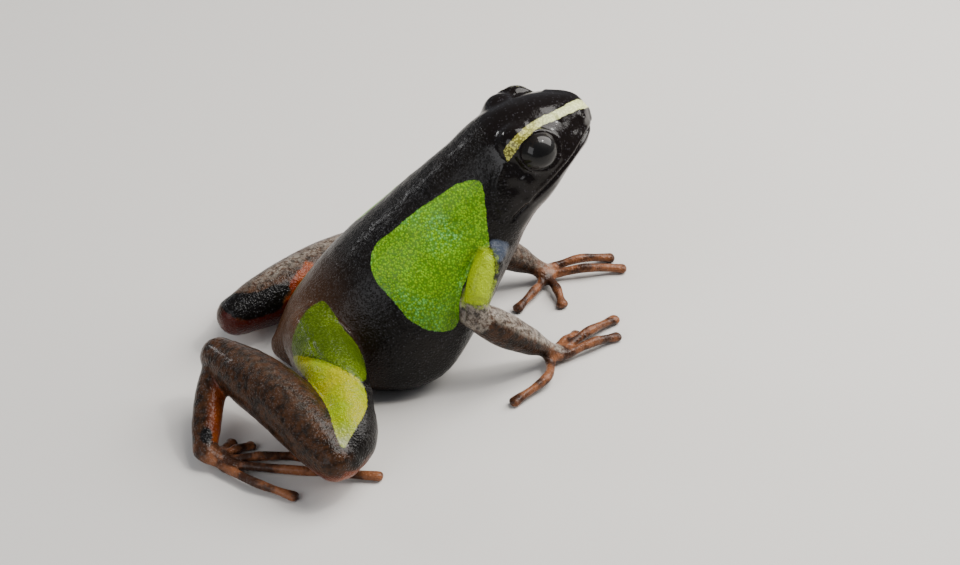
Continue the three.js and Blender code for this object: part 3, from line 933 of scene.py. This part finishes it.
def to_part_frame(thing):
    """Brings a finished piece from frog millimetres to metres in the part's own frame."""
    co = points_of(thing)
    co[:, 0] -= MIDDLE[0]
    co[:, 1] -= MIDDLE[1]
    set_points(thing, co * MM)


# Materials
def colour(r, g, b):
    """A colour as seen on a screen, 0 to 255, as Blender's linear red, green, blue and alpha."""
    linear = [c / 255 / 12.92 if c < 10.3 else ((c / 255 + 0.055) / 1.055) ** 2.4 for c in (r, g, b)]
    return (*linear, 1)


BLACK = colour(7, 5, 4)
BLACK_WARM = colour(15, 11, 8)
HEAD_BLACK = colour(15, 10, 8)
RUMP_BROWN = colour(72, 45, 24)
LEG_BROWN = colour(60, 35, 16)
LEG_DARK = colour(22, 13, 6)
PAW_BROWN = colour(54, 32, 20)
PAW_PINK = colour(124, 78, 50)
# painted reflection of the wet shoulder
REFLECTION_GREY = colour(60, 68, 82)
# pale silver, partly the skin's own and partly a painted sheen
SILVER_AND_SHEEN = colour(150, 140, 128)
# painted glints on granules
GLINT_BLUE = colour(150, 150, 160)
GREEN = colour(122, 184, 20)
GREEN_DEEP = colour(90, 140, 2)
# painted shade on the lower flank
GREEN_SHADE = colour(66, 104, 2)
GREEN_NET = colour(34, 74, 4)
LEAF_GREEN = colour(148, 180, 4)
# painted highlight on the flank's green
TURQUOISE_HIGHLIGHT = colour(120, 208, 110)
OLIVE = colour(64, 84, 0)
OLIVE_LIGHT = colour(92, 114, 2)
OLIVE_NET = colour(40, 54, 2)
YELLOW = colour(160, 158, 0)
YELLOW_GREEN = colour(138, 158, 0)
PALE_BONE = colour(160, 164, 122)
ARM_GREEN = colour(156, 178, 4)
ARM_NET = colour(120, 140, 30)
STRIPE_PALE = colour(220, 226, 160)
STRIPE_GOLD = colour(186, 184, 90)
STRIPE_NET = colour(70, 62, 14)
ORANGE = colour(178, 86, 2)
ORANGE_DEEP = colour(120, 40, 2)
RED = colour(60, 9, 3)
THROAT = colour(58, 41, 31)
BELLY = colour(14, 11, 11)
IRIS_DARK = colour(3, 2, 2)
IRIS_BROWN = colour(13, 8, 4)
IRIS_UPPER = colour(24, 16, 9)
IRIS_EDGE = colour(34, 16, 10)
PUPIL = colour(4, 3, 3)
FLOOR_PALE = (0.62, 0.6, 0.57, 1)

# Finish of the skin: first behind the head, then on it
ROUGHNESS = (0.24, 0.1)
COAT = (0.05, 0.3)
BUMP_SHARE = (1.0, 0.1)
BUMP_HEIGHT = 0.045  # millimetres
LEG_COAT = 0.1
# Refraction of the film of moisture on skin and eyes
MOISTURE_IOR = 1.36
# Sizes of granules in millimetres
FINE_GRANULE = 0.13
COARSE_GRANULE = 0.2


def put(tree, node, values):
    """Fills a node's inputs, by name or number, with links or plain values."""
    for key, value in values.items():
        if isinstance(value, bpy.types.NodeSocket):
            tree.links.new(value, node.inputs[key])
        else:
            node.inputs[key].default_value = value


def add_node(tree, kind, values, **settings):
    made = tree.nodes.new(kind)
    for key, value in settings.items():
        setattr(made, key, value)
    put(tree, made, values)
    return made.outputs


def new_material(name):
    material = bpy.data.materials.new(name)
    material.use_nodes = True
    return material, material.node_tree, material.node_tree.nodes["Principled BSDF"]


def maths(tree, operation, a, b):
    return add_node(tree, "ShaderNodeMath", {0: a, 1: b}, operation=operation)[0]


def times(tree, a, b):
    return maths(tree, "MULTIPLY", a, b)


def plus(tree, a, b):
    return maths(tree, "ADD", a, b)


def blend(tree, share, a, b):
    """Lays a share of colour b over colour a."""
    return add_node(tree, "ShaderNodeMix", {0: share, 6: a, 7: b}, data_type="RGBA")[2]


def spread(tree, value, low, high, to_low=0.0, to_high=1.0):
    values = dict(enumerate((value, low, high, to_low, to_high)))
    return add_node(tree, "ShaderNodeMapRange", values, interpolation_type="SMOOTHSTEP")[0]


def object_place(tree):
    return add_node(tree, "ShaderNodeTexCoord", {})["Object"]


def noise(tree, size, detail=2.0, roughness=0.5):
    """Noise with lumps of a size in millimetres."""
    values = {"Scale": 1 / (size * MM), "Detail": detail, "Roughness": roughness}
    return add_node(tree, "ShaderNodeTexNoise", {"Vector": object_place(tree), **values})["Fac"]


def told(tree, name):
    """A value stored at each point of a mesh."""
    return add_node(tree, "ShaderNodeAttribute", {}, attribute_name=name)["Fac"]


def group(name, inputs, outputs):
    """A node group of plain values, from its inputs' names and values and its outputs' names."""
    tree = bpy.data.node_groups.new(name, "ShaderNodeTree")
    for label, value in inputs.items():
        socket = tree.interface.new_socket(label, in_out="INPUT", socket_type="NodeSocketFloat")
        socket.default_value = value
    for label in outputs:
        tree.interface.new_socket(label, in_out="OUTPUT", socket_type="NodeSocketFloat")
    return tree, add_node(tree, "NodeGroupInput", {}), tree.nodes.new("NodeGroupOutput")


def use(tree, what, **values):
    return add_node(tree, "ShaderNodeGroup", values, node_tree=what)


def granules_group():
    """Round granules of skin: their height, the dark net between them, and a random value for each."""
    tree, given, out = group("granules", {"Size": 0.17}, ["Height", "Net", "Chance"])
    place = object_place(tree)
    wobble = add_node(tree, "ShaderNodeTexNoise", {"Vector": place, "Scale": 1 / (0.35 * MM)})["Color"]
    shift = add_node(tree, "ShaderNodeVectorMath", {0: wobble, "Scale": 0.05 * MM}, operation="SCALE")
    moved = add_node(tree, "ShaderNodeVectorMath", {0: place, 1: shift[0]}, operation="ADD")
    scale = maths(tree, "DIVIDE", 1 / MM, given["Size"])
    values = {"Vector": moved[0], "Scale": scale, "Randomness": 0.9}
    cells = add_node(tree, "ShaderNodeTexVoronoi", values)
    put(tree, out, {
        "Height": spread(tree, cells["Distance"], 0.6, 0.0),
        "Net": spread(tree, cells["Distance"], 0.32, 0.62),
        "Chance": add_node(tree, "ShaderNodeSeparateColor", {0: cells["Color"]})[0],
    })
    return tree


def patch_group():
    """A marking with a ragged edge, from the distance in millimetres inside its outline."""
    tree, given, out = group("patch", {"Inside": 0.0, "Ragged": 0.12, "Soft": 0.03}, ["Mask"])
    ripple = maths(tree, "SUBTRACT", noise(tree, 0.28, 3.0, 0.6), 0.5)
    moved = plus(tree, given["Inside"], times(tree, ripple, times(tree, given["Ragged"], 2.0)))
    put(tree, out, {"Mask": spread(tree, moved, times(tree, given["Soft"], -1.0), given["Soft"])})
    return tree


class SkinPatterns:
    """The patterns that the skin's colours share, and the masks of its markings."""

    def __init__(self, tree):
        granules = granules_group()
        self.tree, self.patch = tree, patch_group()
        self.fine = use(tree, granules, Size=FINE_GRANULE)
        self.coarse = use(tree, granules, Size=COARSE_GRANULE)
        self.clouds, self.flecks = noise(tree, 2.2, 3.0), noise(tree, 0.5, 4.0, 0.65)

    def netted(self, share, colour_over, net):
        """A colour with the dark net of its granules."""
        return blend(self.tree, times(self.tree, self.fine["Net"], share), colour_over, net)

    def clouded(self, low, high, a, b):
        return blend(self.tree, spread(self.tree, self.clouds, low, high), a, b)

    def marked(self, skin, name, over, ragged, soft):
        """The skin with one marking laid over it."""
        inside = told(self.tree, name)
        mask = use(self.tree, self.patch, Inside=inside, Ragged=ragged, Soft=soft)["Mask"]
        return blend(self.tree, mask, skin, over)


def dark_skin(tree, p):
    """Black trunk and head, and brown limbs with silvery mottling that is partly a painted sheen."""
    skin = p.clouded(0.35, 0.7, BLACK, BLACK_WARM)
    tints = {"rump": RUMP_BROWN, "head": HEAD_BLACK, "belly": BELLY, "throat": THROAT}
    for name, tint in tints.items():
        skin = blend(tree, told(tree, name), skin, tint)
    leg = blend(tree, spread(tree, p.flecks, 0.35, 0.65), LEG_DARK, LEG_BROWN)
    skin = blend(tree, told(tree, "brown"), skin, leg)
    paw = blend(tree, spread(tree, noise(tree, 0.9, 3.0), 0.4, 0.62), PAW_BROWN, PAW_PINK)
    skin = blend(tree, told(tree, "paws"), skin, paw)
    # silvery mottling, partly a painted sheen on the limbs' upper faces
    mottle = spread(tree, noise(tree, 0.24, 4.0, 0.7), 0.38, 0.62)
    silver_and_sheen = times(tree, told(tree, "silver_and_sheen"), plus(tree, 0.1, times(tree, mottle, 0.75)))
    return blend(tree, silver_and_sheen, skin, SILVER_AND_SHEEN)


def folded_leg_colours(tree, p, skin):
    """Orange, red and black of the folded legs, and painted bluish glints on a few granules."""
    flash = blend(tree, told(tree, "deep"), p.clouded(0.3, 0.6, ORANGE_DEEP, ORANGE), RED)
    skin = blend(tree, times(tree, told(tree, "flash"), 0.85), skin, flash)
    skin = p.marked(skin, "thigh_back", flash, 0.2, 0.1)
    skin = p.marked(skin, "blotch", BLACK, 0.2, 0.1)
    skin = p.marked(skin, "left_band", BLACK, 0.15, 0.06)
    # painted glints: a few granules tinted pale blue as if catching light
    painted_glints = times(tree, spread(tree, p.fine["Chance"], 0.6, 1.0), p.fine["Height"])
    return blend(tree, times(tree, painted_glints, 0.1), skin, GLINT_BLUE)


def green_patches(tree, p, skin):
    """Green flank with a painted turquoise highlight, the shoulder's painted grey-blue reflection over it,
    and the olive groin.
    """
    green = p.clouded(0.3, 0.7, GREEN_DEEP, GREEN)
    grain = spread(tree, noise(tree, 0.16, 3.0, 0.7), 0.42, 0.62)
    green = blend(tree, times(tree, grain, 0.4), green, LEAF_GREEN)
    # painted turquoise highlight in patches over the flank's green
    chance = spread(tree, p.fine["Chance"], 0.3, 0.9)
    painted_highlight = times(tree, spread(tree, noise(tree, 3.0), 0.48, 0.68), chance)
    green = blend(tree, times(tree, painted_highlight, 0.7), green, TURQUOISE_HIGHLIGHT)
    # painted shade: darker olive-green towards the flank's lower edge
    green = blend(tree, times(tree, told(tree, "flank_shade"), 0.55), green, GREEN_SHADE)
    skin = p.marked(skin, "flank", p.netted(0.6, green, GREEN_NET), 0.1, 0.03)
    # painted grey-blue reflection laid on the shoulder
    skin = p.marked(skin, "shoulder", REFLECTION_GREY, 0.08, 0.08)
    groin = p.netted(0.6, p.clouded(0.3, 0.7, OLIVE, OLIVE_LIGHT), OLIVE_NET)
    return p.marked(skin, "groin", groin, 0.08, 0.03)


def yellow_patches(tree, p, skin):
    """Yellow thigh that pales towards the knee, and yellow-green upper arm."""
    pale = times(tree, told(tree, "thigh_fade"), spread(tree, p.flecks, 0.3, 0.6))
    yellow = blend(tree, pale, p.clouded(0.35, 0.65, YELLOW_GREEN, YELLOW), PALE_BONE)
    skin = p.marked(skin, "thigh", p.netted(0.35, yellow, OLIVE), 0.1, 0.04)
    inside = use(tree, p.patch, Inside=told(tree, "arm"), Ragged=0.5, Soft=0.25)["Mask"]
    mask = times(tree, inside, spread(tree, told(tree, "arm_side"), -0.35, 0.1))
    return blend(tree, mask, skin, p.netted(0.4, ARM_GREEN, ARM_NET))


def head_stripe(tree, p, skin):
    """Stripe of pale granules, more golden and more netted towards its end behind the eye."""
    place = told(tree, "stripe_place")
    stripe = blend(tree, spread(tree, place, 0.35, 0.7), STRIPE_PALE, STRIPE_GOLD)
    net = spread(tree, place, 0.3, 0.8, 0.3, 0.85)
    return p.marked(skin, "stripe", p.netted(net, stripe, STRIPE_NET), 0.1, 0.03)


def skin_material():
    """All colours, wet and smooth on the head and finely granular behind it."""
    material, tree, shader = new_material("mantella_skin")
    p = SkinPatterns(tree)
    skin = dark_skin(tree, p)
    for layer in (folded_leg_colours, green_patches, yellow_patches, head_stripe):
        skin = layer(tree, p, skin)
    wet, wet_leg = told(tree, "head"), times(tree, told(tree, "brown"), LEG_COAT)
    rough, coat, share = (spread(tree, wet, 0.0, 1.0, *ends) for ends in (ROUGHNESS, COAT, BUMP_SHARE))
    grain = times(tree, plus(tree, p.coarse["Height"], p.fine["Height"]), 0.5)
    values = {"Strength": 1.0, "Distance": BUMP_HEIGHT * MM, "Height": times(tree, grain, share)}
    put(tree, shader, {
        "Base Color": skin,
        "Roughness": plus(tree, rough, times(tree, p.flecks, 0.12)),
        "Specular IOR Level": 0.15,
        "Coat Weight": plus(tree, coat, wet_leg),
        "Coat Roughness": 0.1,
        "Coat IOR": MOISTURE_IOR,
        "Normal": add_node(tree, "ShaderNodeBump", values)[0],
    })
    return material


def eye_material():
    """Dark iris, a little browner above and at its edge, under a mirror-smooth cornea."""
    material, tree, shader = new_material("frog_eye")
    grain = spread(tree, noise(tree, 0.09, 3.0, 0.7), 0.4, 0.7)
    iris = blend(tree, grain, IRIS_DARK, IRIS_BROWN)
    glow = times(tree, told(tree, "upper"), spread(tree, noise(tree, 0.07), 0.45, 0.65))
    iris = blend(tree, glow, iris, IRIS_UPPER)
    iris = blend(tree, spread(tree, told(tree, "ring"), 0.86, 1.0), iris, IRIS_EDGE)
    put(tree, shader, {
        "Base Color": blend(tree, spread(tree, told(tree, "pupil"), -0.03, 0.03), iris, PUPIL),
        "Roughness": 0.5,
        "Specular IOR Level": 0.1,
        "Coat Weight": 0.75,
        "Coat Roughness": 0.01,
        "Coat IOR": MOISTURE_IOR,
    })
    return material


def floor_material():
    material, tree, shader = new_material("floor")
    put(tree, shader, {"Base Color": FLOOR_PALE, "Roughness": 0.7, "Specular IOR Level": 0.2})
    return material


FLESH_NODES = ["torso", "head"] + [
    f"{side}_{name}"
    for side in SIDES
    for name in ("upper_arm", "forearm", "hand", "thigh", "shank", "tarsus", "foot")
]


def make_skin():
    skin = build_skin()
    paint(skin)
    to_part_frame(skin)
    skin.data.materials.append(skin_material())
    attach(skin, "root")
    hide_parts(*FLESH_NODES)


def make_eye(side, out, material):
    """An eyeball with a slightly bulging cornea, an iris and a level oval pupil."""
    eye = ball(side + "_eyeball", on_side(EYE_CENTRE, out), EYE_RADIUS, 64)
    centre, looks, long_way, high_way = eye_frame(out)
    co = points_of(eye)
    from_eye = co - centre
    ahead, level, high = (from_eye @ way / EYE_RADIUS for way in (looks, long_way, high_way))
    co += from_eye * (CORNEA_BULGE * ease(ahead, 0.55, 0.85))[:, None]
    set_points(eye, co)
    oval = np.hypot(level / PUPIL_STRETCH, high)
    mark(eye, "ring", np.where(ahead > 0, np.hypot(level, high), 1))
    mark(eye, "pupil", np.where(ahead > 0, PUPIL_HEIGHT - oval, -1))
    mark(eye, "upper", ease(high, 0.1, 0.5))
    choose(eye)
    bpy.ops.object.shade_smooth()
    to_part_frame(eye)
    eye.data.materials.append(material)
    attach(eye, "root")
    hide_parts(side + "_eye")


def make_camera():
    data = bpy.data.cameras.new("camera")
    data.sensor_width = SENSOR
    data.lens = PIXELS_PER_MM * CAMERA_DISTANCE / IMAGE_WIDTH * SENSOR
    data.shift_x = (IMAGE_MIDDLE[0] - AIM_PIXEL[0]) / IMAGE_WIDTH
    data.shift_y = (AIM_PIXEL[1] - IMAGE_MIDDLE[1]) / IMAGE_WIDTH
    data.clip_start = 0.01
    camera = bpy.data.objects.new("camera", data)
    bpy.context.scene.collection.objects.link(camera)
    turned = Matrix((RIGHT, UP, -FORWARD)).transposed().to_4x4()
    place = (VIEW_POINT - np.array((*MIDDLE, 0))) * MM
    camera.matrix_world = Matrix.Translation(place) @ turned
    bpy.context.scene.camera = camera


# Studio. Soft boxes: name, direction, distance and size in millimetres, power and tint
LIGHTS = [
    ("key", (0.65, 0.08, 0.77), 130, (110, 150), 0.46, (1, 0.97, 0.93)),
    ("sparkle", (0.5, -0.15, 0.85), 170, (16, 16), 0.07, (1, 0.98, 0.95)),
    ("fill", (-0.75, -0.55, 0.5), 220, (160, 140), 0.24, (0.97, 0.98, 1)),
    ("rim", (-0.7, 0.75, 0.5), 160, (26, 20), 0.03, (1, 1, 1)),
]
LIGHT_AIM = Vector((0.001, 0, 0.006))
FLOOR_SIZE = 1.6
SKY = (0.85, 0.9, 1.0, 1)
SKY_STRENGTH = 0.24


def soft_box(name, direction, distance, size, power, tint):
    data = bpy.data.lights.new(name, "AREA")
    data.shape = "RECTANGLE"
    data.size, data.size_y = (s * MM for s in size)
    data.energy = power
    data.color = tint
    light = bpy.data.objects.new(name, data)
    bpy.context.scene.collection.objects.link(light)
    from_aim = Vector(unit(direction) * distance * MM)
    light.location = LIGHT_AIM + from_aim
    light.rotation_euler = (-from_aim).to_track_quat("-Z", "Y").to_euler()


def make_studio():
    clear_selection()
    bpy.ops.mesh.primitive_plane_add(size=FLOOR_SIZE, location=(0, 0, 0))
    floor = bpy.context.active_object
    floor.name = "floor"
    floor.data.materials.append(floor_material())
    world = bpy.data.worlds.new("studio")
    bpy.context.scene.world = world
    world.use_nodes = True
    background = world.node_tree.nodes["Background"].inputs
    background["Color"].default_value = SKY
    background["Strength"].default_value = SKY_STRENGTH
    for light in LIGHTS:
        soft_box(*light)


make_camera()
make_skin()
eye_look = eye_material()
for side, out in SIDES.items():
    make_eye(side, out, eye_look)
make_studio()
